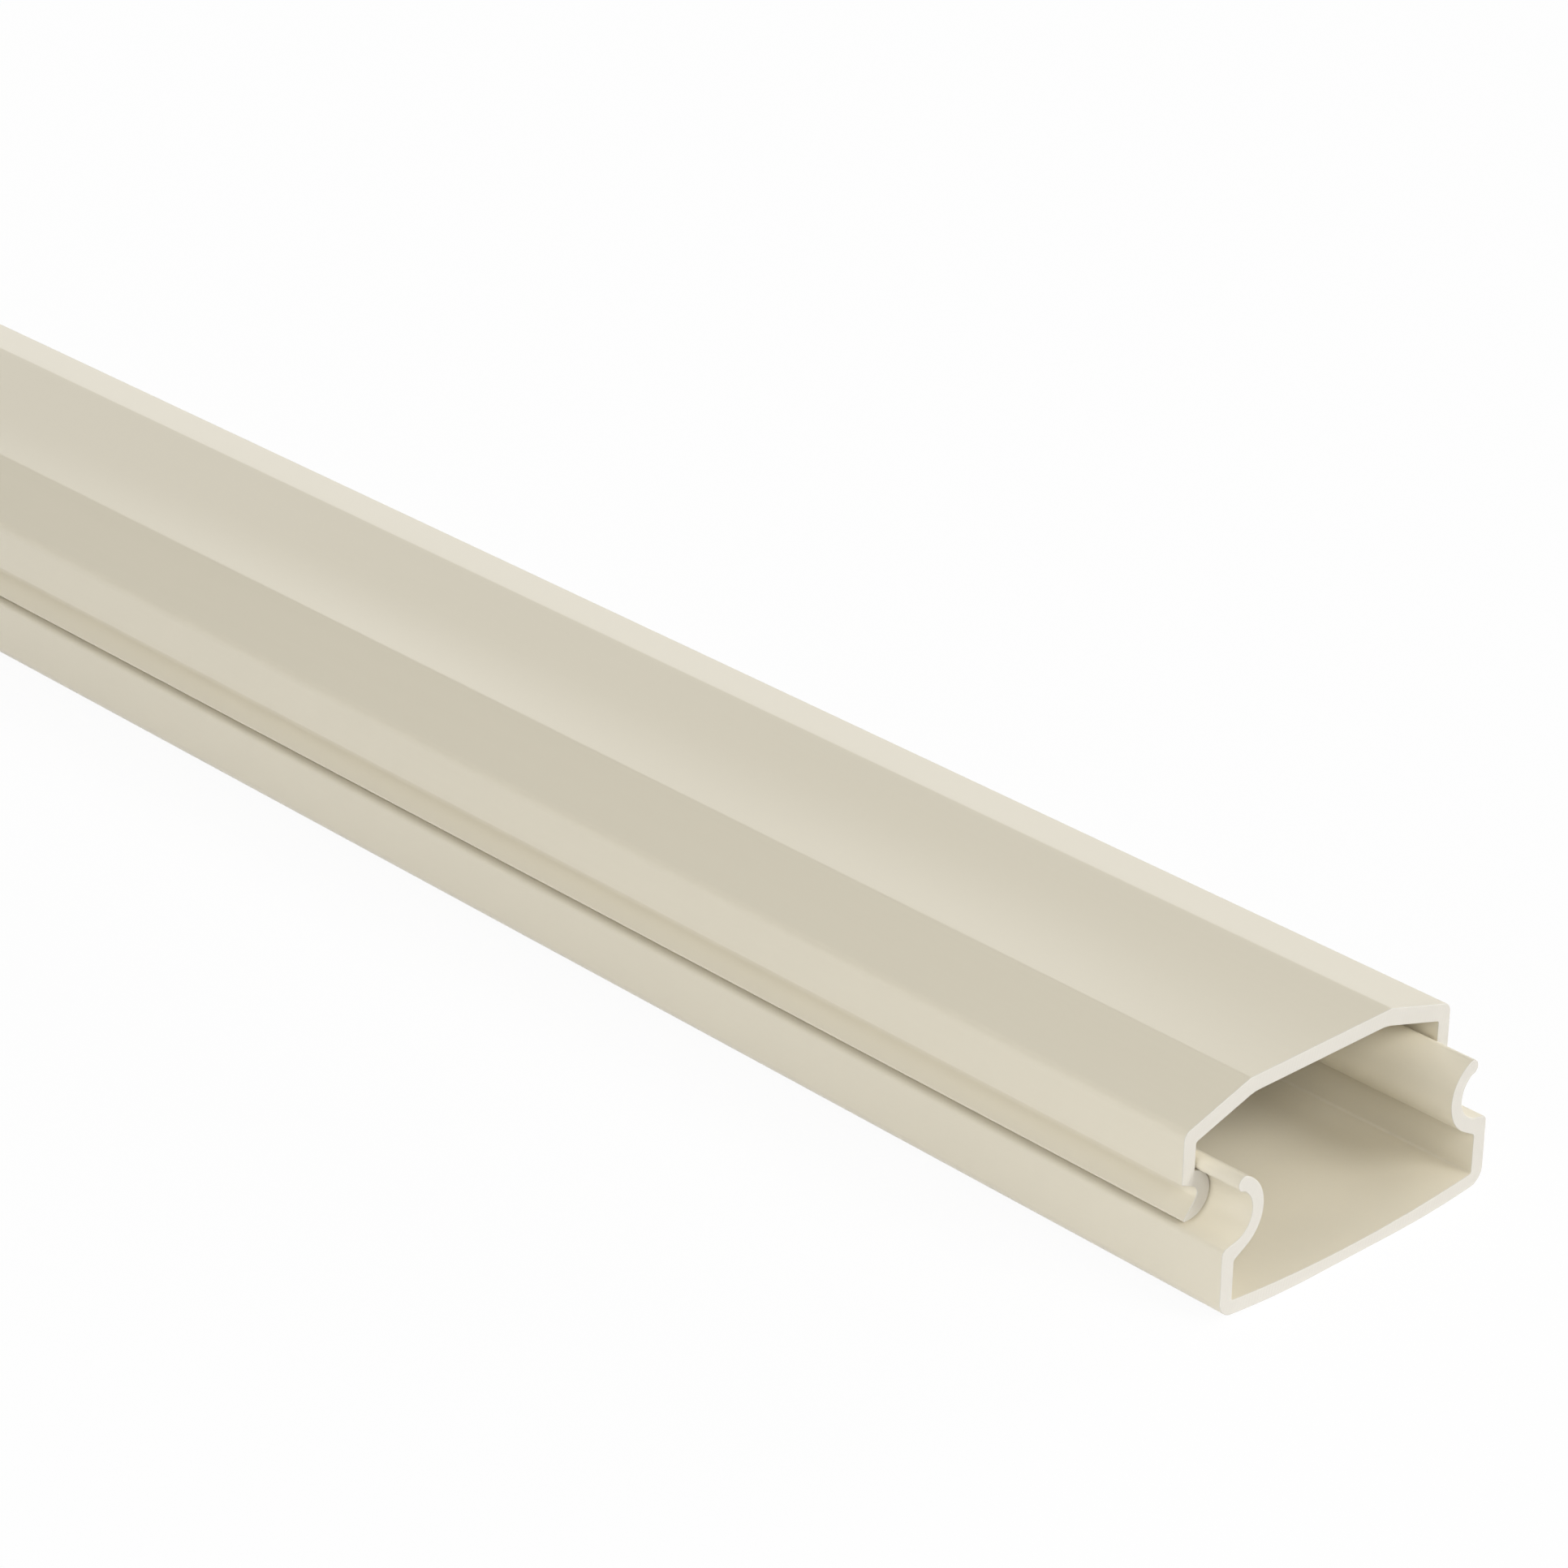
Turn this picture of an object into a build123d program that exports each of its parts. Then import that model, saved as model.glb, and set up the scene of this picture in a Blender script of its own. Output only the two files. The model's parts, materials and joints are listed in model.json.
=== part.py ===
# Cord cover raceway: two interlocking PVC extrusions, a base channel and a cover that snaps onto it.
#
# Frame: X runs along the raceway, Y across it, Z up from the flat strip on the base's back.
# The origin is the middle of that strip. The +X end is the one where the base stands out past
# the cover. Sizes are in millimetres, angles in degrees. Each section is drawn for its +Y half,
# with Y and Z as the sketch's own x and y, and mirrored.

from math import acos, atan2, cos, degrees, hypot, radians, sin, sqrt, tan
import os

from build123d import *

# Overall sizes
LENGTH = 400.0
WIDTH = 33.3
HEIGHT = 18.62
COVER_SETBACK = 4.75

# Base channel
BASE_WALL = 1.45
FLOOR = 1.15
FLOOR_BOW = 0.8
FLOOR_CORNER_RADIUS = 0.25
BACK_STRIP_WIDTH = 10.0
BACK_BOW = 0.76
BACK_CORNER_RADIUS = 1.6
LEDGE_HEIGHT = 7.2
LEDGE_SLOPE = 12.0
LEDGE_CORNER_RADIUS = 0.55

# C-shaped lip of the base: a curled strip that ends in a round bead
LIP = 1.33
GROOVE_RADIUS = 2.48
BEAD_RADIUS = 0.7
BEAD_NECK_RADIUS = 0.3
LIP_TIP_ANGLE = 65.0
LIP_ROOT_SLOPE = 30.0
LIP_ROOT_RADIUS = 0.35

# Cover
COVER_WALL = 1.45
ROOF = 1.54
ROOF_FLAT_WIDTH = 17.6
ROOF_EDGE_RADIUS = 4.0
SHOULDER = 1.62
SHOULDER_SLOPE = 17.0
SHOULDER_RADIUS = 1.25
SHOULDER_INNER_RADIUS = 0.3

# Finger recess and crescent hook of the cover
HOOK = 1.4
HOOK_TOE = 0.2
HOOK_TOE_INSET = 0.4
HOOK_TOE_RADIUS = 0.12
RECESS_RADIUS = 0.8
RECESS_RISE = 1.35
RECESS_TOP_SLOPE = 25.0

# Clearances between the two extrusions: the bead inside the cover's wall, and the hook in its groove
BEAD_CLEARANCE = 0.17
HOOK_PLAY = 0.4
HOOK_SHIFT = 0.2
HOOK_LIFT = 0.12

# Shared places in the section, worked out from the sizes above
HALF_WIDTH = WIDTH / 2
BASE_INNER = HALF_WIDTH - BASE_WALL
COVER_INNER = HALF_WIDTH - COVER_WALL
BULGE_RADIUS = GROOVE_RADIUS + LIP
BEAD_REACH = BULGE_RADIUS - BEAD_RADIUS
LIP_Y = COVER_INNER - BEAD_CLEARANCE - BEAD_RADIUS + BEAD_REACH * cos(radians(LIP_TIP_ANGLE))
LEDGE_END_Y = LIP_Y - GROOVE_RADIUS * sin(radians(LEDGE_SLOPE))
LEDGE_END_Z = LEDGE_HEIGHT + (HALF_WIDTH - LEDGE_END_Y) * tan(radians(LEDGE_SLOPE))
LIP_Z = LEDGE_END_Z + GROOVE_RADIUS * cos(radians(LEDGE_SLOPE))
HOOK_Y = LIP_Y - HOOK_SHIFT
HOOK_Z = LIP_Z + HOOK_LIFT
HOOK_RADIUS = GROOVE_RADIUS - HOOK_PLAY


def around(centre, radius, angle):
    """The point of a circle that lies in a direction from its centre."""
    return (centre[0] + radius * cos(radians(angle)), centre[1] + radius * sin(radians(angle)))


def round_corner(face, point, radius):
    """Round the corner of a section that lies at a point."""
    return fillet(face.vertices().sort_by_distance(point)[0], radius)


def whole_section(half):
    """A half section and its mirror image, stood upright across the raceway."""
    return Plane.YZ * (half + mirror(half, about=Plane.YZ))


def base_half_section():
    """Half of the channel, from the middle of its back round the lip to the middle of its floor."""
    back_corner = (HALF_WIDTH, BACK_BOW)
    ledge_corner = (HALF_WIDTH, LEDGE_HEIGHT)
    floor_corner = (BASE_INNER, FLOOR + FLOOR_BOW)
    strip = Line((0, 0), (BACK_STRIP_WIDTH / 2, 0))
    flank = TangentArc(strip @ 1, back_corner, tangent=(1, 0))
    outside = Line(back_corner, ledge_corner)
    ledge = Line(ledge_corner, (LEDGE_END_Y, LEDGE_END_Z))

    # The bead touches the lip's inner face from within and stands out into the groove.
    lip_centre = (LIP_Y, LIP_Z)
    tip_angle = 180 - LIP_TIP_ANGLE
    bead_centre = around(lip_centre, BEAD_REACH, tip_angle)
    neck_cosine = (GROOVE_RADIUS**2 + BEAD_REACH**2 - BEAD_RADIUS**2) / (2 * GROOVE_RADIUS * BEAD_REACH)
    neck_angle = tip_angle + degrees(acos(neck_cosine))
    groove_angle = 270 - LEDGE_SLOPE
    root_angle = 270 - LIP_ROOT_SLOPE
    groove = CenterArc(lip_centre, GROOVE_RADIUS, groove_angle, neck_angle - groove_angle)
    bulge = CenterArc(lip_centre, BULGE_RADIUS, tip_angle, root_angle - tip_angle)
    bead = ThreePointArc(groove @ 1, around(bead_centre, BEAD_RADIUS, tip_angle - 90), bulge @ 0)

    root = bulge @ 1
    lip_root = (BASE_INNER, root.Y - (BASE_INNER - root.X) * tan(radians(LIP_ROOT_SLOPE)))
    underside = Line(root, lip_root)
    inside = Line(lip_root, floor_corner)
    bow = TangentArc((0, FLOOR), floor_corner, tangent=(1, 0))
    middle = Line((0, FLOOR), (0, 0))

    half = make_face([strip, flank, outside, ledge, groove, bead, bulge, underside, inside, bow, middle])
    half = round_corner(half, back_corner, BACK_CORNER_RADIUS)
    half = round_corner(half, ledge_corner, LEDGE_CORNER_RADIUS)
    half = round_corner(half, groove @ 1, BEAD_NECK_RADIUS)
    half = round_corner(half, lip_root, LIP_ROOT_RADIUS)
    return round_corner(half, floor_corner, FLOOR_CORNER_RADIUS)


def cover_half_section():
    """Half of the cover, from the middle of its roof round the hook to the middle of its ceiling."""
    fall = tan(radians(SHOULDER_SLOPE))
    ceiling = HEIGHT - ROOF
    roof_edge = (ROOF_FLAT_WIDTH / 2, HEIGHT)
    shoulder = (HALF_WIDTH, HEIGHT - (HALF_WIDTH - roof_edge[0]) * fall)
    ceiling_edge = (roof_edge[0] - (SHOULDER / cos(radians(SHOULDER_SLOPE)) - ROOF) / fall, ceiling)
    inner_shoulder = (COVER_INNER, ceiling - (COVER_INNER - ceiling_edge[0]) * fall)

    # The recess slopes in from the wall's foot to an arc, then runs out as a straight line to the toe,
    # where the hook ends almost in a point. Both lines are tangent to the arc.
    wall_foot = (HALF_WIDTH, HOOK_Z + RECESS_RISE)
    recess_y = HOOK_Y - HOOK_RADIUS + HOOK + RECESS_RADIUS
    slope = radians(RECESS_TOP_SLOPE)
    recess_drop = (RECESS_RADIUS + (HALF_WIDTH - recess_y) * sin(slope)) / cos(slope)
    recess_centre = (recess_y, wall_foot[1] - recess_drop)
    toe_bottom = (HALF_WIDTH - HOOK_TOE_INSET, HOOK_Z - HOOK_RADIUS)
    toe_top = (toe_bottom[0], toe_bottom[1] + HOOK_TOE)
    toe_y, toe_z = toe_top[0] - recess_centre[0], toe_top[1] - recess_centre[1]
    touch_angle = degrees(atan2(toe_z, toe_y) - acos(RECESS_RADIUS / hypot(toe_y, toe_z))) % 360
    top_angle = 90 + RECESS_TOP_SLOPE
    recess = CenterArc(recess_centre, RECESS_RADIUS, top_angle, touch_angle - top_angle)

    hook_bottom = (HOOK_Y, HOOK_Z - HOOK_RADIUS)
    hook_back = (HOOK_Y - HOOK_RADIUS, HOOK_Z)
    hook_top = (COVER_INNER, HOOK_Z + sqrt(HOOK_RADIUS**2 - (COVER_INNER - HOOK_Y) ** 2))

    half = make_face(
        [
            Polyline((0, HEIGHT), roof_edge, shoulder, wall_foot, recess @ 0),
            recess,
            Polyline(recess @ 1, toe_top, toe_bottom, hook_bottom),
            ThreePointArc(hook_bottom, hook_back, hook_top),
            Polyline(hook_top, inner_shoulder, ceiling_edge, (0, ceiling), (0, HEIGHT)),
        ]
    )
    half = round_corner(half, roof_edge, ROOF_EDGE_RADIUS)
    half = round_corner(half, ceiling_edge, ROOF_EDGE_RADIUS)
    half = round_corner(half, shoulder, SHOULDER_RADIUS)
    half = round_corner(half, toe_top, HOOK_TOE_RADIUS)
    half = round_corner(half, toe_bottom, HOOK_TOE_RADIUS)
    return round_corner(half, inner_shoulder, SHOULDER_INNER_RADIUS)


def extrusion(half, front_end):
    """One extruded length whose +X end face lies at front_end."""
    return Pos(front_end - LENGTH, 0, 0) * extrude(whole_section(half), LENGTH, dir=(1, 0, 0))


PIECES = {
    "base_channel": extrusion(base_half_section(), LENGTH / 2),
    "snap_cover": extrusion(cover_half_section(), LENGTH / 2 - COVER_SETBACK),
}

os.makedirs("parts", exist_ok=True)
for name, piece in PIECES.items():
    export_step(piece, f"parts/{name}.step")
    box = piece.bounding_box()
    print(name, "volume", round(piece.volume), "mm3, from", box.min, "to", box.max)
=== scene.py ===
# %% [markdown]
# Cord cover raceway
#
# A raceway hides cords along a wall. It is two lengths of ivory PVC: a base channel that is fixed
# to the wall, and a cover whose hooks nest in the base's curled lips. Both are extrusions, which
# means that warm plastic is pushed through a die of the section's shape and then sawn to length.
# So this lesson makes them the same way: draw a section, give it length, ease the sawn ends, and
# then spend the rest of the time on the finish and the light.
#
# The CAD model is loaded first and is never moved. Its box is kept, to be printed at the end beside
# the box of what is shown. Everything here is in metres, with +X along the raceway.

# %% Load the CAD frame
import json
from math import acos, atan2, cos, degrees, hypot, pi, radians, sin, sqrt, tan

import bmesh
import bpy
from mathutils import Matrix, Vector

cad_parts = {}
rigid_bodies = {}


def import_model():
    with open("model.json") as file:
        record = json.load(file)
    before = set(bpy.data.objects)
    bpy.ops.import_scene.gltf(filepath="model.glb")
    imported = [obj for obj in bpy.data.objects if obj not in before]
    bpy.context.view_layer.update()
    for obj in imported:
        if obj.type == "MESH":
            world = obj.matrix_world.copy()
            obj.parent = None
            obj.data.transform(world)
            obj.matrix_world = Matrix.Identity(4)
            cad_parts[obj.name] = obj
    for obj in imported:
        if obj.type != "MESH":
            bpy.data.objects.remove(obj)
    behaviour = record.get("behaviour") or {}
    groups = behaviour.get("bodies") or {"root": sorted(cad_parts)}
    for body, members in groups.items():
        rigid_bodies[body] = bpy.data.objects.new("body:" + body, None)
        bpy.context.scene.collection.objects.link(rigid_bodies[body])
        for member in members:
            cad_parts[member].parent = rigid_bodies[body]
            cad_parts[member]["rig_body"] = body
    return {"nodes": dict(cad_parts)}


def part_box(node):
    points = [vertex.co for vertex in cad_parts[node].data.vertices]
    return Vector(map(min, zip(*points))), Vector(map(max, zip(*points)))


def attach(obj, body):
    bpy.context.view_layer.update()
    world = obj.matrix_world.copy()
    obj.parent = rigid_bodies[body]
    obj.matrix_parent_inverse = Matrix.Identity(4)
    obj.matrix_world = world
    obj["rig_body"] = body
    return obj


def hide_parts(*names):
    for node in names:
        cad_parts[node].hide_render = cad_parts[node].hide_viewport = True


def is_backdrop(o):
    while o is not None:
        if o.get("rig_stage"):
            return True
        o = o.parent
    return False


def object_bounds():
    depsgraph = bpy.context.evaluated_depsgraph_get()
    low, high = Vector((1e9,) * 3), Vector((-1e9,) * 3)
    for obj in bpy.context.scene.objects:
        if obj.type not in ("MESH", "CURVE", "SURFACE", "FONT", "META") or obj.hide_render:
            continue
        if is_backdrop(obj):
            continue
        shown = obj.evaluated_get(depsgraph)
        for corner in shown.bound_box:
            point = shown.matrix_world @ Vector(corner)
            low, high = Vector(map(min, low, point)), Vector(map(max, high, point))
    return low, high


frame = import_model()
cad_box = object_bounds()
MM = 0.001


def in_mm(places):
    """Places in metres, written in millimetres to two digits."""
    return [[round(c / MM, 2) for c in place] for place in places]


print("CAD nodes:", sorted(frame["nodes"]))
print("CAD box in mm:", in_mm(cad_box))

# %% [markdown]
# The camera
#
# The photograph was taken from the near right, looking down at the sawn end. Its long edges nearly
# meet at a far vanishing point, so the lens is long. The place and the angles below were measured
# from those edges: azimuth turns the camera about Z, elevation tips it down, and the small roll is
# the tilt of the photograph itself. Writing the angles out, instead of aiming at a target, keeps
# each of them easy to change alone.

# %% Place the camera
CAMERA_PLACE = (0.43631, -0.28780, 0.22777)
CAMERA_AZIMUTH = radians(46.86)
CAMERA_ELEVATION = radians(26.46)
CAMERA_ROLL = radians(0.53)
SENSOR_WIDTH = 36.0
LENS = 117.39
NEAREST_SEEN = 0.01

camera = bpy.data.objects.new("camera", bpy.data.cameras.new("camera"))
camera.data.sensor_width = SENSOR_WIDTH
camera.data.lens = LENS
camera.data.clip_start = NEAREST_SEEN
camera.matrix_world = (
    Matrix.Translation(CAMERA_PLACE)
    @ Matrix.Rotation(CAMERA_AZIMUTH, 4, "Z")
    @ Matrix.Rotation(radians(90) - CAMERA_ELEVATION, 4, "X")
    @ Matrix.Rotation(CAMERA_ROLL, 4, "Z")
)
bpy.context.scene.collection.objects.link(camera)
bpy.context.scene.camera = camera
line_of_sight = camera.matrix_world.to_3x3() @ Vector((0, 0, -1))
print("camera looks along", [round(c, 4) for c in line_of_sight])

# %% [markdown]
# A pen for outlines
#
# A section is a chain of straight runs and arcs, like a line drawn without lifting the pen. Two
# bmesh operators draw it: extruding the last vertex gives a straight run, and spinning the last
# vertex about a centre gives an arc. Sizes are written in millimetres, as they are on a drawing,
# and `spot` turns them into a place in the section's plane. Only half of each section is drawn,
# because the raceway mirrors about its middle.

# %% Make the pen
ARC_ERROR = 0.003


def arc_steps(radius, turn):
    """How many straight steps keep an arc within ARC_ERROR, in millimetres, of a true one."""
    return max(3, round(abs(turn) / (2 * degrees(acos(1 - ARC_ERROR / radius)))))


def spot(y, z):
    """A place in the section, from millimetres across and up."""
    return Vector((0, y * MM, z * MM))


def pen_down(place):
    """A new mesh that holds one vertex, and that vertex."""
    section = bmesh.new()
    made = bmesh.ops.create_vert(section, co=spot(*place))
    return section, made["vert"][0]


def line_to(section, pen, place):
    """A straight run from the pen to a place. Gives back the new pen."""
    made = bmesh.ops.extrude_vert_indiv(section, verts=[pen])
    pen = made["verts"][0]
    pen.co = spot(*place)
    return pen


def arc_about(section, pen, centre, turn):
    """An arc from the pen about a centre, turning by so many degrees. Gives back the new pen."""
    centre = spot(*centre)
    made = bmesh.ops.spin(
        section,
        geom=[pen],
        cent=centre,
        axis=(1, 0, 0),
        angle=radians(turn),
        steps=arc_steps((pen.co - centre).length / MM, turn),
    )
    return made["geom_last"][0]


for radius in (0.7, 2.5):
    print("half a turn of", radius, "mm radius takes", arc_steps(radius, 180), "steps")

# %% [markdown]
# The base channel's lip
#
# The base is a shallow trough. On top of each side wall a ledge slopes inwards into a C-shaped
# lip, which curls up and ends in a round bead. The groove inside that curl is where the cover's
# hook nests. The lip is two arcs about one centre with a smaller circle, the bead, at its tip. So
# the place where the bead meets the groove, the neck, follows from the three radii by the law of
# cosines, and the centre follows from the gap that is left beside the bead. Working these places
# out keeps them true when a size is changed.

# %% Work out the base channel's lip
HALF_WIDTH = 16.65
WALL = 1.45
LEDGE_HEIGHT = 7.2
LEDGE_SLOPE = 12.0
GROOVE_RADIUS = 2.48
LIP = 1.33
BEAD_RADIUS = 0.7
BEAD_CLEARANCE = 0.17
LIP_TIP_ANGLE = 115.0
LIP_ROOT_SLOPE = 30.0


def on_circle(centre, radius, angle):
    """The place on a circle at an angle in degrees, counted from +Y towards +Z."""
    return (centre[0] + radius * cos(radians(angle)), centre[1] + radius * sin(radians(angle)))


INNER = HALF_WIDTH - WALL
BULGE_RADIUS = GROOVE_RADIUS + LIP
BEAD_REACH = BULGE_RADIUS - BEAD_RADIUS
lip_y = INNER - BEAD_CLEARANCE - BEAD_RADIUS - BEAD_REACH * cos(radians(LIP_TIP_ANGLE))
ledge_end_y = lip_y - GROOVE_RADIUS * sin(radians(LEDGE_SLOPE))
ledge_end_z = LEDGE_HEIGHT + (HALF_WIDTH - ledge_end_y) * tan(radians(LEDGE_SLOPE))
LIP_CENTRE = (lip_y, ledge_end_z + GROOVE_RADIUS * cos(radians(LEDGE_SLOPE)))
groove_angle = 270 - LEDGE_SLOPE
root_angle = 270 - LIP_ROOT_SLOPE
bead_centre = on_circle(LIP_CENTRE, BEAD_REACH, LIP_TIP_ANGLE)
neck_cosine = (
    (GROOVE_RADIUS**2 + BEAD_REACH**2 - BEAD_RADIUS**2) / (2 * GROOVE_RADIUS * BEAD_REACH)
)
neck_angle = LIP_TIP_ANGLE + degrees(acos(neck_cosine))
neck = on_circle(LIP_CENTRE, GROOVE_RADIUS, neck_angle)
bead_start = degrees(atan2(neck[1] - bead_centre[1], neck[0] - bead_centre[0]))
root = on_circle(LIP_CENTRE, BULGE_RADIUS, root_angle)
lip_root = (INNER, root[1] - (INNER - root[0]) * tan(radians(LIP_ROOT_SLOPE)))
print("lip's centre in mm:", [round(c, 3) for c in LIP_CENTRE])

# %% [markdown]
# The base channel's section
#
# The back touches the wall on a strip along the middle and bows away from it towards the sides,
# and the floor of the trough bows with it. Both bows are arcs that are tangent to the flat middle,
# so each one's radius follows from its width and its rise. The outline starts at the middle of the
# back, goes up the side and round the lip, and ends at the middle of the floor.

# %% Draw half of the base channel
BACK_STRIP = 5.0
BACK_BOW = 0.76
FLOOR = 1.15
FLOOR_BOW = 0.8


def bow(width, rise):
    """Radius and turn, in degrees, of an arc that leaves a flat and rises over a width."""
    return (width**2 + rise**2) / (2 * rise), 2 * degrees(atan2(rise, width))


back_radius, back_turn = bow(HALF_WIDTH - BACK_STRIP, BACK_BOW)
floor_radius, floor_turn = bow(INNER, FLOOR_BOW)
back_corner = (HALF_WIDTH, BACK_BOW)
ledge_corner = (HALF_WIDTH, LEDGE_HEIGHT)
floor_corner = (INNER, FLOOR + FLOOR_BOW)

base, pen = pen_down((0, 0))
pen = line_to(base, pen, (BACK_STRIP, 0))
pen = arc_about(base, pen, (BACK_STRIP, back_radius), back_turn)
pen = line_to(base, pen, ledge_corner)
pen = line_to(base, pen, (ledge_end_y, ledge_end_z))
pen = arc_about(base, pen, LIP_CENTRE, neck_angle - groove_angle)
pen = arc_about(base, pen, bead_centre, LIP_TIP_ANGLE - bead_start)
pen = arc_about(base, pen, LIP_CENTRE, root_angle - LIP_TIP_ANGLE)
pen = line_to(base, pen, lip_root)
pen = line_to(base, pen, floor_corner)
pen = arc_about(base, pen, (0, FLOOR + floor_radius), -floor_turn)
print("base half section:", len(base.verts), "points, ends in mm at", in_mm([pen.co])[0])

# %% [markdown]
# The cover's hook
#
# From the foot of each wall the cover's section slopes in to a finger recess and then out again to
# the toe of a crescent hook. The hook's back is an arc that sits in the base's groove with a little
# play, so that the cover can be sprung on and slid along. The CAD model leaves more play than is
# drawn here, because its rigid pieces have to slide. The walls of a real cover spring, and press
# the hooks home. Both lines beside the recess are tangent to its arc, so the places where they
# meet it are worked out and not guessed.

# %% Work out the cover's hook
HOOK = 1.48
HOOK_TOE = 0.2
HOOK_TOE_INSET = 0.4
HOOK_PLAY = 0.18
HOOK_SHIFT = 0.06
HOOK_LIFT = 0.06
RECESS_RADIUS = 0.8
RECESS_RISE = 1.41
RECESS_TOP_SLOPE = 25.0

hook_radius = GROOVE_RADIUS - HOOK_PLAY
hook_centre = (LIP_CENTRE[0] - HOOK_SHIFT, LIP_CENTRE[1] + HOOK_LIFT)
hook_bottom = on_circle(hook_centre, hook_radius, 270)
hook_top = (INNER, hook_centre[1] + sqrt(hook_radius**2 - (INNER - hook_centre[0]) ** 2))
hook_top_angle = degrees(atan2(hook_top[1] - hook_centre[1], hook_top[0] - hook_centre[0]))
wall_foot = (HALF_WIDTH, hook_centre[1] + RECESS_RISE)
recess_y = hook_centre[0] - hook_radius + HOOK + RECESS_RADIUS
top_slope = radians(RECESS_TOP_SLOPE)
recess_drop = (RECESS_RADIUS + (HALF_WIDTH - recess_y) * sin(top_slope)) / cos(top_slope)
recess_centre = (recess_y, wall_foot[1] - recess_drop)
recess_start_angle = 90 + RECESS_TOP_SLOPE
recess_start = on_circle(recess_centre, RECESS_RADIUS, recess_start_angle)
toe_bottom = (HALF_WIDTH - HOOK_TOE_INSET, hook_bottom[1])
toe_top = (toe_bottom[0], toe_bottom[1] + HOOK_TOE)
toe_run = (toe_top[0] - recess_centre[0], toe_top[1] - recess_centre[1])
toe_turn = acos(RECESS_RADIUS / hypot(*toe_run))
toe_angle = degrees(atan2(toe_run[1], toe_run[0]) - toe_turn) % 360
print("hook's radius is", round(hook_radius, 2), "mm in a groove of", GROOVE_RADIUS, "mm")

# %% [markdown]
# The cover's section
#
# The cover has a flat roof and two sloping shoulders, a little thicker than the roof. Its walls
# stand flush with the base's. The outline starts at the middle of the roof, goes over the shoulder
# and down the wall, round the recess and the hook, and comes back along the inside to the middle of
# the ceiling. Ceiling and inner shoulder are found by setting the outer lines back by a thickness.

# %% Draw half of the cover
HEIGHT = 18.62
ROOF = 1.54
ROOF_HALF_FLAT = 8.8
SHOULDER = 1.62
SHOULDER_SLOPE = 17.0

fall = tan(radians(SHOULDER_SLOPE))
roof_edge = (ROOF_HALF_FLAT, HEIGHT)
shoulder = (HALF_WIDTH, HEIGHT - (HALF_WIDTH - ROOF_HALF_FLAT) * fall)
ceiling = HEIGHT - ROOF
set_back = (SHOULDER / cos(radians(SHOULDER_SLOPE)) - ROOF) / fall
ceiling_edge = (ROOF_HALF_FLAT - set_back, ceiling)
inner_shoulder = (INNER, ceiling - (INNER - ceiling_edge[0]) * fall)

cover, pen = pen_down((0, HEIGHT))
for place in (roof_edge, shoulder, wall_foot, recess_start):
    pen = line_to(cover, pen, place)
pen = arc_about(cover, pen, recess_centre, toe_angle - recess_start_angle)
for place in (toe_top, toe_bottom, hook_bottom):
    pen = line_to(cover, pen, place)
pen = arc_about(cover, pen, hook_centre, hook_top_angle - 270)
for place in (inner_shoulder, ceiling_edge, (0, ceiling)):
    pen = line_to(cover, pen, place)
print("cover half section:", len(cover.verts), "points, ends in mm at", in_mm([pen.co])[0])

# %% [markdown]
# Rounded corners
#
# A die has no knife-sharp corners, and neither has what comes out of it. Bevelling a single vertex
# of the outline cuts its corner with an arc. The bevel is told how far back along the two edges the
# arc starts, so the distance is worked out from the radius that is wanted and from the corner's
# angle. The corners of the trough's inside are tight, and the ones that a hand meets are softer.
# Along the roof the light changes over a narrow line, so its edges and the shoulders are drawn
# crisper than in the CAD model.

# %% Round the corners of both sections
BASE_CORNERS = {
    back_corner: 1.6,
    ledge_corner: 0.55,
    neck: 0.3,
    lip_root: 0.35,
    floor_corner: 0.25,
}
COVER_CORNERS = {
    roof_edge: 1.2,
    ceiling_edge: 4.0,
    shoulder: 0.9,
    toe_top: 0.12,
    toe_bottom: 0.12,
    inner_shoulder: 0.3,
}


def round_corner(section, place, radius):
    """Cut the outline's corner at a place with an arc of a radius in millimetres."""
    corner = min(section.verts, key=lambda vertex: (vertex.co - spot(*place)).length)
    before, after = [edge.other_vert(corner).co - corner.co for edge in corner.link_edges]
    opening = before.angle(after)
    bmesh.ops.bevel(
        section,
        geom=[corner],
        offset=radius * MM / tan(opening / 2),
        offset_type="OFFSET",
        affect="VERTICES",
        segments=arc_steps(radius, 180 - degrees(opening)),
        profile=0.5,
        material=-1,
    )


for section, corners in ((base, BASE_CORNERS), (cover, COVER_CORNERS)):
    for place, radius in corners.items():
        round_corner(section, place, radius)
    print("rounded", len(corners), "corners, now", len(section.verts), "points")

# %% [markdown]
# From a section to a sawn length
#
# Mirroring the half outline closes it into a loop, which is filled with one face and extruded along
# the raceway, just as the plastic was. The saw leaves the end's edges crisp, and a knife or a thumb
# takes the burr off, so they get a bevel of a few hundredths of a millimetre. It is too small to
# measure but it catches the light. Faces at the two ends are marked with a second material slot,
# for the sawn finish.

# %% Make a sawn length from half of a section
SEAM = 0.01
EASED_EDGE = 0.06
EASED_STEPS = 3
SKIN, SAWN = 0, 1


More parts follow.
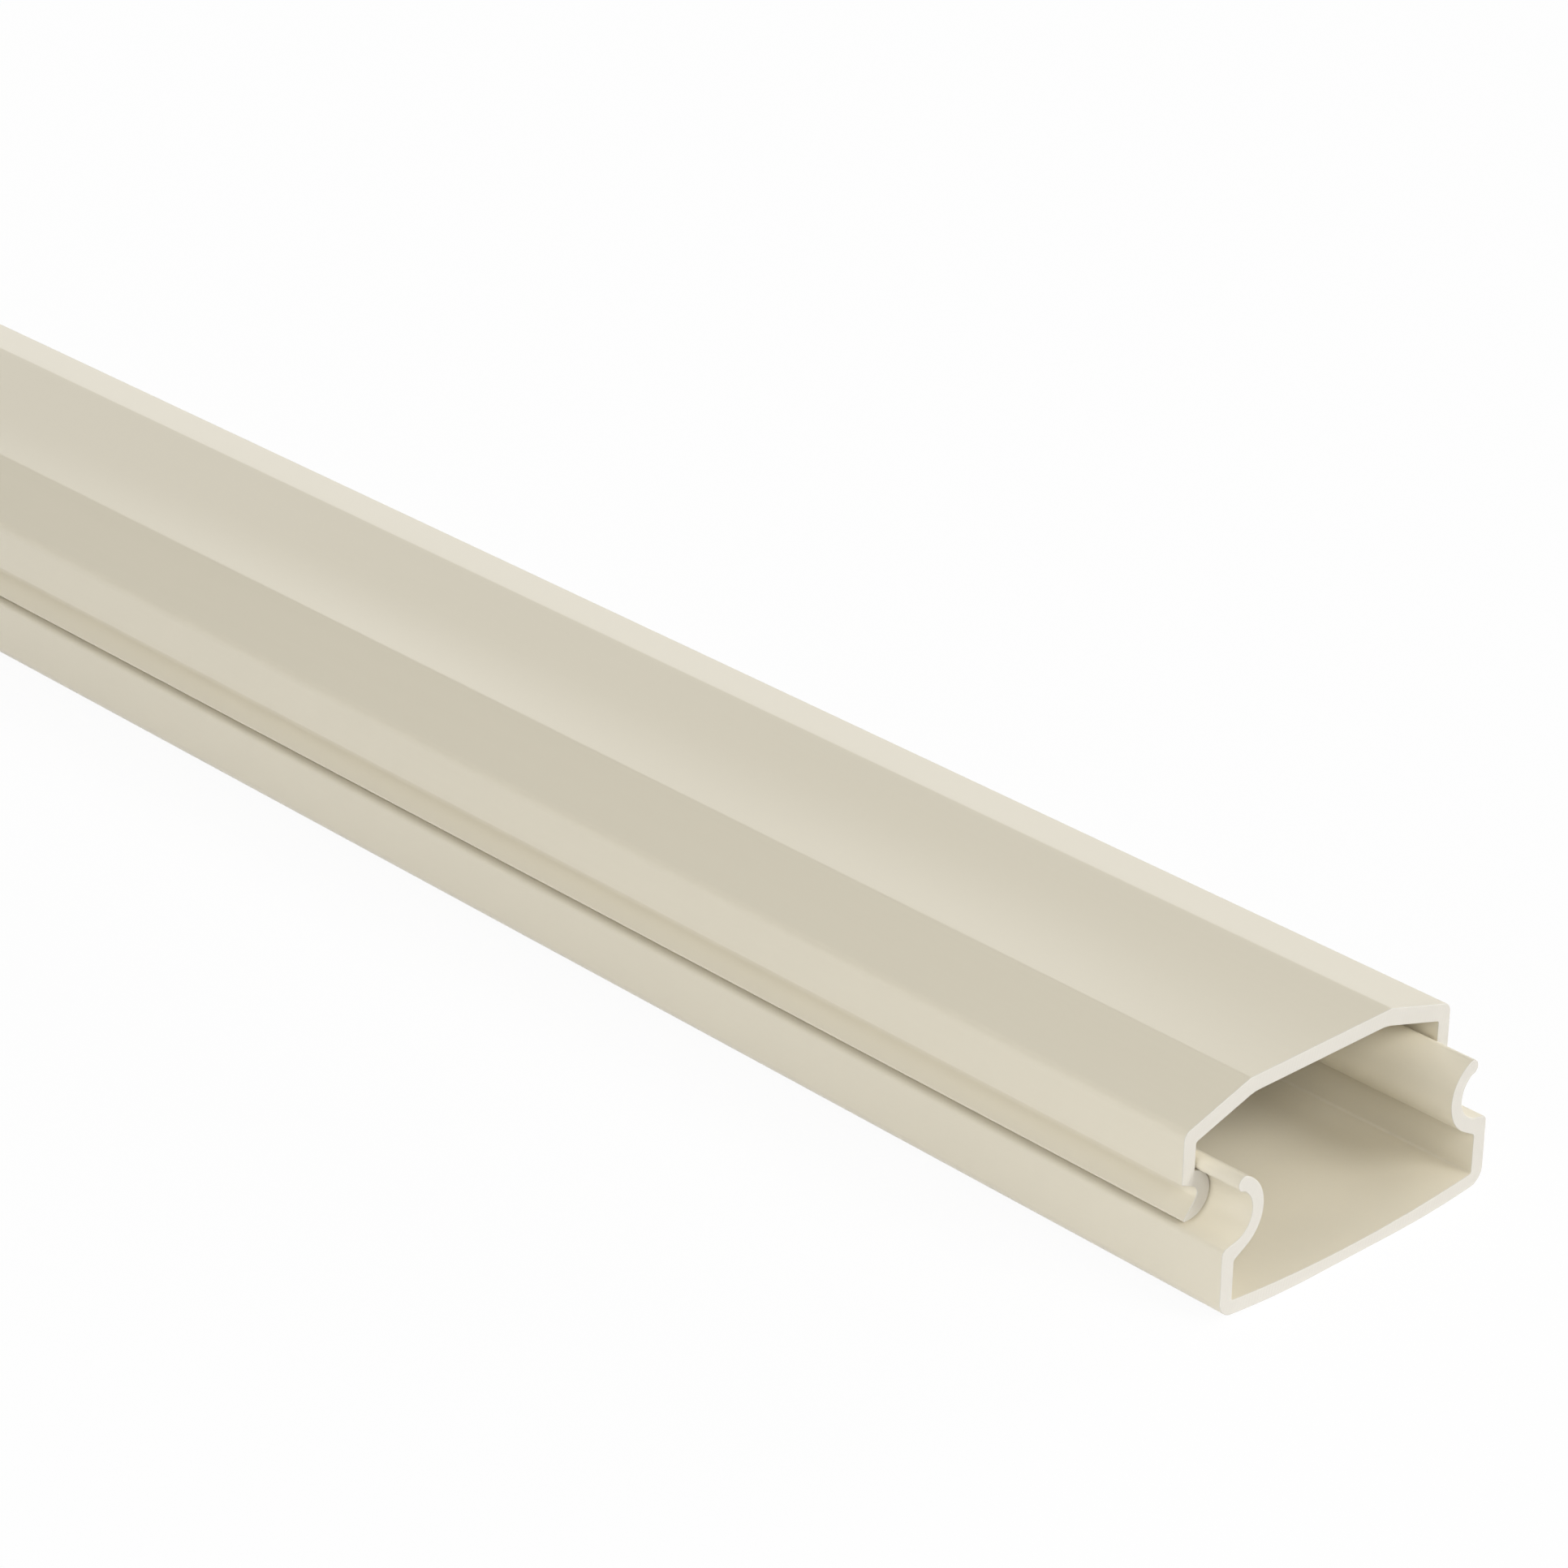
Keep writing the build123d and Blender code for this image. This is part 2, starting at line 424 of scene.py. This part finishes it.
def saw_to_length(section, front, back):
    """Turn half a section into a solid length between two places along X, with eased ends."""
    bmesh.ops.mirror(
        section,
        geom=section.verts[:] + section.edges[:],
        matrix=Matrix.Identity(4),
        merge_dist=SEAM * MM,
        axis="Y",
    )
    bmesh.ops.translate(section, verts=section.verts, vec=(front, 0, 0))
    end = bmesh.ops.contextual_create(section, geom=section.edges[:])["faces"]
    grown = bmesh.ops.extrude_face_region(section, geom=end)["geom"]
    far = [part for part in grown if isinstance(part, bmesh.types.BMVert)]
    bmesh.ops.translate(section, verts=far, vec=(back - front, 0, 0))
    bmesh.ops.recalc_face_normals(section, faces=section.faces)
    half_length = (front - back) / 2
    bmesh.ops.bevel(
        section,
        geom=[edge for edge in section.edges if edge.calc_length() < half_length],
        offset=EASED_EDGE * MM,
        offset_type="OFFSET",
        affect="EDGES",
        segments=EASED_STEPS,
        profile=0.5,
        material=-1,
        clamp_overlap=False,
    )
    middle, skin_reach = (back + front) / 2, half_length - EASED_EDGE * MM
    for face in section.faces:
        at_end = abs(face.calc_center_median().x - middle) > skin_reach
        face.material_index = SAWN if at_end else SKIN
        face.smooth = True


print("the sawn edges are eased by", EASED_EDGE, "mm in", EASED_STEPS, "steps")

# %% [markdown]
# Taking the place of the CAD pieces
#
# Length and place come from the CAD node that a piece stands for, so the new piece fits its box and
# rides on the same moving body. Shading is smooth over the arcs and sharp at true corners. A
# weighted normal modifier lets the large flat faces decide the shading beside a small arc. Without
# it, the flats would look pillowed.

# %% Put the lengths in place of the CAD pieces
SMOOTH_UP_TO = radians(35)


def extrusion(section, name, node):
    """A finished length of extrusion in place of a CAD node, from half of its section."""
    low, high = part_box(node)
    saw_to_length(section, high.x, low.x)
    mesh = bpy.data.meshes.new(name)
    section.to_mesh(mesh)
    section.free()
    mesh.set_sharp_from_angle(angle=SMOOTH_UP_TO)
    piece = bpy.data.objects.new(name, mesh)
    bpy.context.scene.collection.objects.link(piece)
    flats = piece.modifiers.new("flats_stay_flat", "WEIGHTED_NORMAL")
    flats.keep_sharp = True
    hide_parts(node)
    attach(piece, frame["nodes"][node]["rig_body"])
    print(name, "has", len(mesh.polygons), "faces in place of", node)
    return piece


base_length = extrusion(base, "base_channel_length", "base_channel")
cover_length = extrusion(cover, "cover_length", "snap_cover")

# %% [markdown]
# The clouding that both finishes share
#
# A finish is a small tree of nodes. Two helpers keep the trees short to read: one adds a node and
# sets its plain values, the other joins two sockets. An effect that more than one finish uses is a
# node group with named sockets. Here that is `clouding`, the slow change of tone that any plastic
# has where the pigment is not perfectly mixed.

# %% Make the clouding group
def add(tree, kind, values=(), **settings):
    """A new node with its settings, and with values for its inputs by name or by number."""
    node = tree.nodes.new(kind)
    for name, value in settings.items():
        setattr(node, name, value)
    for name, value in dict(values).items():
        node.inputs[name].default_value = value
    return node


def join(tree, source, target):
    """A wire from an output socket to an input socket."""
    tree.links.new(source, target)


clouding = bpy.data.node_groups.new("clouding", "ShaderNodeTree")
clouding.interface.new_socket("Scale", in_out="INPUT", socket_type="NodeSocketFloat")
clouding.interface.new_socket("Cloud", in_out="OUTPUT", socket_type="NodeSocketFloat")
given = add(clouding, "NodeGroupInput")
result = add(clouding, "NodeGroupOutput")
where = add(clouding, "ShaderNodeTexCoord")
slow = add(clouding, "ShaderNodeMapping", {"Scale": (0.35, 1.0, 1.0)})
cloud = add(clouding, "ShaderNodeTexNoise", {"Detail": 3.0, "Roughness": 0.55})
join(clouding, where.outputs["Object"], slow.inputs["Vector"])
join(clouding, slow.outputs["Vector"], cloud.inputs["Vector"])
join(clouding, given.outputs["Scale"], cloud.inputs["Scale"])
join(clouding, cloud.outputs["Fac"], result.inputs["Cloud"])
print("group", clouding.name, "has", len(clouding.nodes), "nodes")

# %% [markdown]
# Two tones of one plastic
#
# No plastic is one flat colour. Each finish here lies between a darker and a lighter tone. Its own
# pattern, such as lines or saw marks, decides a share of the way between them, and the clouding
# decides the rest. A colour ramp could hold the two tones as well, but a mix node shows them as two
# plain colours that are easy to change.

# %% Colour a surface between two tones
PVC_IOR = 1.53


def pvc(name):
    """A new PVC material: the material, its node tree and its surface shader."""
    material = bpy.data.materials.new(name)
    material.use_nodes = True
    tree = material.node_tree
    surface = tree.nodes["Principled BSDF"]
    surface.inputs["IOR"].default_value = PVC_IOR
    return material, tree, surface


def two_tones(tree, surface, shade, light, pattern, pattern_share, cloud_scale):
    """Colour a surface between two tones, by a share of its pattern and by the clouding."""
    cloud = add(tree, "ShaderNodeGroup", {"Scale": cloud_scale}, node_tree=clouding)
    cloud_part = add(tree, "ShaderNodeMath", {1: 1 - pattern_share}, operation="MULTIPLY")
    tone = add(tree, "ShaderNodeMath", {1: pattern_share}, operation="MULTIPLY_ADD")
    colour = add(tree, "ShaderNodeMix", data_type="RGBA")
    colour.inputs["A"].default_value = shade
    colour.inputs["B"].default_value = light
    join(tree, cloud.outputs["Cloud"], cloud_part.inputs[0])
    join(tree, pattern, tone.inputs[0])
    join(tree, cloud_part.outputs["Value"], tone.inputs[2])
    join(tree, tone.outputs["Value"], colour.inputs["Factor"])
    join(tree, colour.outputs["Result"], surface.inputs["Base Color"])


print("PVC's index of refraction is", PVC_IOR)

# %% [markdown]
# The extruded skin
#
# Rigid PVC comes out of the die with a satin skin. Seen close, it has faint lines along its length,
# where tiny nicks in the die have combed the plastic, and a very fine grain. Both are noise on
# Object coordinates: squeezing the pattern along X draws it out into lines that run the whole
# length, round every curve of the section. The lines shift the tone by a percent or two, change the
# roughness a little and give the bump its height. A painted picture could do the same, but the
# noise has no seams and no edge.

# %% Make the extruded skin
IVORY_SHADE = (0.702, 0.650, 0.522, 1)
IVORY_LIGHT = (0.730, 0.678, 0.550, 1)
LINES_IN_TONE = 0.5
SKIN_CLOUDS = 60.0
GRAIN_HEIGHT = 0.25
RELIEF_DEPTH = 0.02


def extruded_skin():
    """Satin ivory PVC with die lines along X."""
    skin, tree, surface = pvc("extruded_ivory_pvc")
    where = add(tree, "ShaderNodeTexCoord")
    drawn = add(tree, "ShaderNodeMapping", {"Scale": (0.004, 1.0, 1.0)})
    lines = add(tree, "ShaderNodeTexNoise", {"Scale": 1500.0, "Detail": 4.0, "Roughness": 0.6})
    grain = add(tree, "ShaderNodeTexNoise", {"Scale": 5000.0, "Detail": 2.0})
    join(tree, where.outputs["Object"], drawn.inputs["Vector"])
    join(tree, drawn.outputs["Vector"], lines.inputs["Vector"])
    join(tree, where.outputs["Object"], grain.inputs["Vector"])
    line = lines.outputs["Fac"]
    two_tones(tree, surface, IVORY_SHADE, IVORY_LIGHT, line, LINES_IN_TONE, SKIN_CLOUDS)

    gloss = add(tree, "ShaderNodeMapRange", {"To Min": 0.27, "To Max": 0.35})
    join(tree, line, gloss.inputs["Value"])
    join(tree, gloss.outputs["Result"], surface.inputs["Roughness"])

    height = add(tree, "ShaderNodeMath", {1: GRAIN_HEIGHT}, operation="MULTIPLY_ADD")
    relief = add(tree, "ShaderNodeBump", {"Strength": 0.25, "Distance": RELIEF_DEPTH * MM})
    join(tree, grain.outputs["Fac"], height.inputs[0])
    join(tree, line, height.inputs[2])
    join(tree, height.outputs["Value"], relief.inputs["Height"])
    join(tree, relief.outputs["Normal"], surface.inputs["Normal"])
    print(skin.name, "has", len(tree.nodes), "nodes")
    return skin


skin = extruded_skin()

# %% [markdown]
# The sawn ends
#
# A saw cuts through the skin and leaves the plastic less yellow and more matt, with fine marks
# where the teeth went by. Its tones are also set darker than the skin's. That is painted shade,
# because the lamps over the open end light the ends more strongly than the sides. Scratches could
# be drawn one by one, but a wave texture whose bands lean a little and wander gives such marks at
# once. They are kept faint, because a fine blade cuts PVC cleanly.

# %% Make the sawn finish with its painted shade
# Painted shade: both sawn tones are darker than the skin's, to offset the lamps over the open end.
SAWN_SHADED_DARK = (0.570, 0.544, 0.489, 1)
SAWN_SHADED_PALE = (0.600, 0.574, 0.519, 1)
MARKS_IN_TONE = 0.3
SAWN_CLOUDS = 260.0
SAW_LEAN = radians(14)


def sawn_and_shaded_end():
    """Matt, less yellow PVC where the saw went through, darkened with painted shade."""
    sawn, tree, surface = pvc("sawn_and_shaded_ivory_pvc")
    where = add(tree, "ShaderNodeTexCoord")
    lean = add(tree, "ShaderNodeMapping", {"Rotation": (SAW_LEAN, 0, 0)})
    teeth = add(
        tree,
        "ShaderNodeTexWave",
        {"Scale": 900.0, "Distortion": 3.0, "Detail": 3.0, "Detail Scale": 0.4},
        bands_direction="Y",
    )
    join(tree, where.outputs["Object"], lean.inputs["Vector"])
    join(tree, lean.outputs["Vector"], teeth.inputs["Vector"])
    mark = teeth.outputs["Fac"]
    two_tones(tree, surface, SAWN_SHADED_DARK, SAWN_SHADED_PALE, mark, MARKS_IN_TONE, SAWN_CLOUDS)

    gloss = add(tree, "ShaderNodeMapRange", {"To Min": 0.55, "To Max": 0.7})
    relief = add(tree, "ShaderNodeBump", {"Strength": 0.2, "Distance": RELIEF_DEPTH * MM})
    join(tree, mark, gloss.inputs["Value"])
    join(tree, gloss.outputs["Result"], surface.inputs["Roughness"])
    join(tree, mark, relief.inputs["Height"])
    join(tree, relief.outputs["Normal"], surface.inputs["Normal"])
    print(sawn.name, "has", len(tree.nodes), "nodes")
    return sawn


sawn = sawn_and_shaded_end()
for piece in (base_length, cover_length):
    piece.data.materials.append(skin)
    piece.data.materials.append(sawn)

# %% [markdown]
# The white floor
#
# The photograph's background is plain white. Making a floor white with more light would burn out
# the pale plastic too, so the floor shows white only to rays that come from the camera or from a
# gloss, with an emission of strength 1. To every other ray it is a pale matt sheet that sends soft
# light back up. A small part of what the camera sees is still that matt sheet, so the raceway keeps
# its shadow.

# %% Make the floor's finish
FLOOR_GREY = (0.90, 0.90, 0.90, 1)
PURE_WHITE = (1, 1, 1, 1)
WHITENED = 0.94


def seen_directly(tree):
    """An output that is 1 for rays from the camera, a gloss or a clear body, and 0 for the rest."""
    path = add(tree, "ShaderNodeLightPath")
    either = add(tree, "ShaderNodeMath", operation="MAXIMUM")
    seen = add(tree, "ShaderNodeMath", operation="MAXIMUM")
    join(tree, path.outputs["Is Camera Ray"], either.inputs[0])
    join(tree, path.outputs["Is Glossy Ray"], either.inputs[1])
    join(tree, either.outputs["Value"], seen.inputs[0])
    join(tree, path.outputs["Is Transmission Ray"], seen.inputs[1])
    return seen.outputs["Value"]


def pale_sheet():
    """A matt sheet that looks nearly white, whatever light falls on it."""
    sheet = bpy.data.materials.new("pale_floor")
    sheet.use_nodes = True
    tree = sheet.node_tree
    tree.nodes.clear()
    matt = add(tree, "ShaderNodeBsdfDiffuse", {"Color": FLOOR_GREY})
    white = add(tree, "ShaderNodeEmission", {"Color": PURE_WHITE, "Strength": 1.0})
    whitened = add(tree, "ShaderNodeMixShader", {"Fac": WHITENED})
    choice = add(tree, "ShaderNodeMixShader")
    output = add(tree, "ShaderNodeOutputMaterial")
    join(tree, matt.outputs["BSDF"], whitened.inputs[1])
    join(tree, white.outputs["Emission"], whitened.inputs[2])
    join(tree, seen_directly(tree), choice.inputs["Fac"])
    join(tree, matt.outputs["BSDF"], choice.inputs[1])
    join(tree, whitened.outputs["Shader"], choice.inputs[2])
    join(tree, choice.outputs["Shader"], output.inputs["Surface"])
    print(sheet.name, "has", len(tree.nodes), "nodes")
    return sheet


sheet = pale_sheet()

# %% [markdown]
# Laying the floor
#
# The floor is one flat face, wide enough for its edges to stay out of sight. It lies a hair below
# the raceway's back, because two faces in the same plane would flicker. It belongs to the stage and
# not to the part, and is marked so.

# %% Lay the floor
FLOOR_HALF = 3.0
FLOOR_DROP = 0.02

ground = bmesh.new()
bmesh.ops.create_grid(ground, x_segments=1, y_segments=1, size=FLOOR_HALF)
bmesh.ops.translate(ground, verts=ground.verts, vec=(0, 0, -FLOOR_DROP * MM))
floor_mesh = bpy.data.meshes.new("floor")
ground.to_mesh(floor_mesh)
ground.free()
floor_mesh.materials.append(sheet)
floor = bpy.data.objects.new("floor", floor_mesh)
bpy.context.scene.collection.objects.link(floor)
floor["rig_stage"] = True
print("floor is", 2 * FLOOR_HALF, "m wide")

# %% [markdown]
# The white surround
#
# A studio's white card stands round the table, and the room above it is dim. A gloss shows the
# difference: the far shoulder reflects the card and looks almost white, and the near shoulder
# reflects the dim room and looks deeper than the roof. So the world is white to the camera and to a
# gloss up to the card's top, and fades with height above it. To all other rays it is only a faint,
# even light.

# %% Set up the surround
AMBIENT = 0.05
CARD_TOP = 17.0
ROOM_DIM = 31.0


def white_surround():
    """A world with a white card that fades into a dim room, and with a faint, even light."""
    surround = bpy.data.worlds.new("surround")
    surround.use_nodes = True
    tree = surround.node_tree
    tree.nodes.clear()
    way = add(tree, "ShaderNodeTexCoord")
    upward = add(tree, "ShaderNodeSeparateXYZ")
    card = add(tree, "ShaderNodeMapRange", {"To Min": 1.0, "To Max": 0.0})
    card.inputs["From Min"].default_value = sin(radians(CARD_TOP))
    card.inputs["From Max"].default_value = sin(radians(ROOM_DIM))
    on_card = add(tree, "ShaderNodeMath", operation="MULTIPLY")
    soft = add(tree, "ShaderNodeBackground", {"Color": PURE_WHITE, "Strength": AMBIENT})
    white = add(tree, "ShaderNodeBackground", {"Color": PURE_WHITE, "Strength": 1.0})
    choice = add(tree, "ShaderNodeMixShader")
    output = add(tree, "ShaderNodeOutputWorld")
    join(tree, way.outputs["Generated"], upward.inputs["Vector"])
    join(tree, upward.outputs["Z"], card.inputs["Value"])
    join(tree, seen_directly(tree), on_card.inputs[0])
    join(tree, card.outputs["Result"], on_card.inputs[1])
    join(tree, on_card.outputs["Value"], choice.inputs["Fac"])
    join(tree, soft.outputs["Background"], choice.inputs[1])
    join(tree, white.outputs["Background"], choice.inputs[2])
    join(tree, choice.outputs["Shader"], output.inputs["Surface"])
    print(surround.name, "has", len(tree.nodes), "nodes, and an even light of", AMBIENT)
    return surround


bpy.context.scene.world = white_surround()

# %% [markdown]
# Far lamps
#
# The light is plain and soft, as in a catalogue picture. Most lamps here stand so far off that
# their light is the same all along the raceway. A sun lamp with a wide angle does that, and its
# level is easy to think in: at level 1 a surface that faces it shows its colour as it is written.
# Three come in over the open end, so that they reach down into the channel. Two lie low along the
# sides, where they light the walls and hardly touch the roof. The lamps over the end are kept out
# of the gloss, as a polarising filter would keep them. Without that, the pale roof burns out to
# white when it is seen from behind.

# %% Hang the far lamps
LAMP_WIDTH = 28


def hang(name, lamp, turn, in_gloss=True):
    """Put a lamp into the scene, turned and placed by a matrix, and out of the camera's sight."""
    holder = bpy.data.objects.new(name, lamp)
    holder.matrix_world = turn
    holder.visible_camera = False
    holder.visible_glossy = in_gloss
    bpy.context.scene.collection.objects.link(holder)


def direction(azimuth, elevation):
    """The way to a lamp, from degrees counted from +X towards +Y and from the floor upwards."""
    turn, rise = radians(azimuth), radians(elevation)
    return Vector((cos(rise) * cos(turn), cos(rise) * sin(turn), sin(rise)))


def far_lamp(name, azimuth, elevation, level, in_gloss=True):
    """A soft lamp that is so far off that it lights everything alike."""
    lamp = bpy.data.lights.new(name, "SUN")
    lamp.angle = radians(LAMP_WIDTH)
    lamp.energy = level * pi
    turn = direction(azimuth, elevation).to_track_quat("Z", "Y").to_matrix().to_4x4()
    hang(name, lamp, turn, in_gloss)
    print(name, "stands", elevation, "degrees up, at level", level)


far_lamp("over_end", 16, 35, 0.54, in_gloss=False)
far_lamp("over_end_near", 328, 36, 0.37, in_gloss=False)
far_lamp("over_end_far", 50, 52, 0.17, in_gloss=False)
far_lamp("far_side", 88, 9, 0.65)
far_lamp("near_side", 266, 16, 0.26)

# %% [markdown]
# A softbox near the open end
#
# In the photograph the walls grow dimmer towards the far end. A far lamp can't do that, so one real
# softbox stands low and close to the open end, and its light falls off with distance. It is kept
# out of the gloss too.

# %% Stand the softbox
SOFTBOX_PLACE = (0.36, -0.22, 0.10)
SOFTBOX_TARGET = (0.195, 0, 0.008)
SOFTBOX_SIDE = 0.25
SOFTBOX_WATTS = 0.17


def softbox(name, place, target, side, watts):
    """A square lamp that faces a target, and that no gloss shows."""
    lamp = bpy.data.lights.new(name, "AREA")
    lamp.size = side
    lamp.energy = watts
    away = Vector(place) - Vector(target)
    turn = Matrix.Translation(place) @ away.to_track_quat("Z", "Y").to_matrix().to_4x4()
    hang(name, lamp, turn, in_gloss=False)
    print(name, "is", round(away.length, 2), "m away at", watts, "W")


softbox("near_softbox", SOFTBOX_PLACE, SOFTBOX_TARGET, SOFTBOX_SIDE, SOFTBOX_WATTS)

# %% [markdown]
# The band of gloss on the roof
#
# The roof has a soft band of gloss along its near edge. Two strips with a grid make it: each throws
# a thin sheet of light along that edge, and the gloss sends it on to the camera. A mirror sends the
# light of each place on the roof another way, so one strip serves the open end and one the far end.
# A bright card in the surround would show as a hard shape in the gloss. A gridded strip fades out
# on both sides of its sheet of light.

# %% Hang the gridded strips
GLOSS_BAND = Vector((0.06, -0.0105, HEIGHT * MM))
STRIP_AWAY = 0.15
STRIP_LENGTH, STRIP_WIDTH = 0.5, 0.002
STRIP_SPREAD = 5.0


def gridded_strip(name, azimuth, elevation, watts):
    """A strip lamp with a grid, so that it throws a thin sheet of light along the roof."""
    lamp = bpy.data.lights.new(name, "AREA")
    lamp.shape = "RECTANGLE"
    lamp.size, lamp.size_y = STRIP_LENGTH, STRIP_WIDTH
    lamp.spread = radians(STRIP_SPREAD)
    lamp.energy = watts
    back = direction(azimuth, elevation)
    along = (Vector((1, 0, 0)) - back * back.x).normalized()
    axes = Matrix((along, back.cross(along), back)).transposed().to_4x4()
    hang(name, lamp, Matrix.Translation(GLOSS_BAND + back * STRIP_AWAY) @ axes)
    print(name, "throws a beam", STRIP_SPREAD, "degrees wide at", watts, "W")


gridded_strip("roof_strip_end", 133.0, 28.9, 0.00022)
gridded_strip("roof_strip_far", 141.0, 25.4, 0.00012)

# %% [markdown]
# Measure
#
# The view transform is set to Standard, so that colours show as they are written. Then the box of
# what is shown is written beside the CAD model's box, so that the two can be compared.

# %% Measure
bpy.context.scene.view_settings.view_transform = "Standard"
boxes = {"cad": cad_box, "visual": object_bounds()}
for name, box in boxes.items():
    print(name, "box in mm:", in_mm(box))
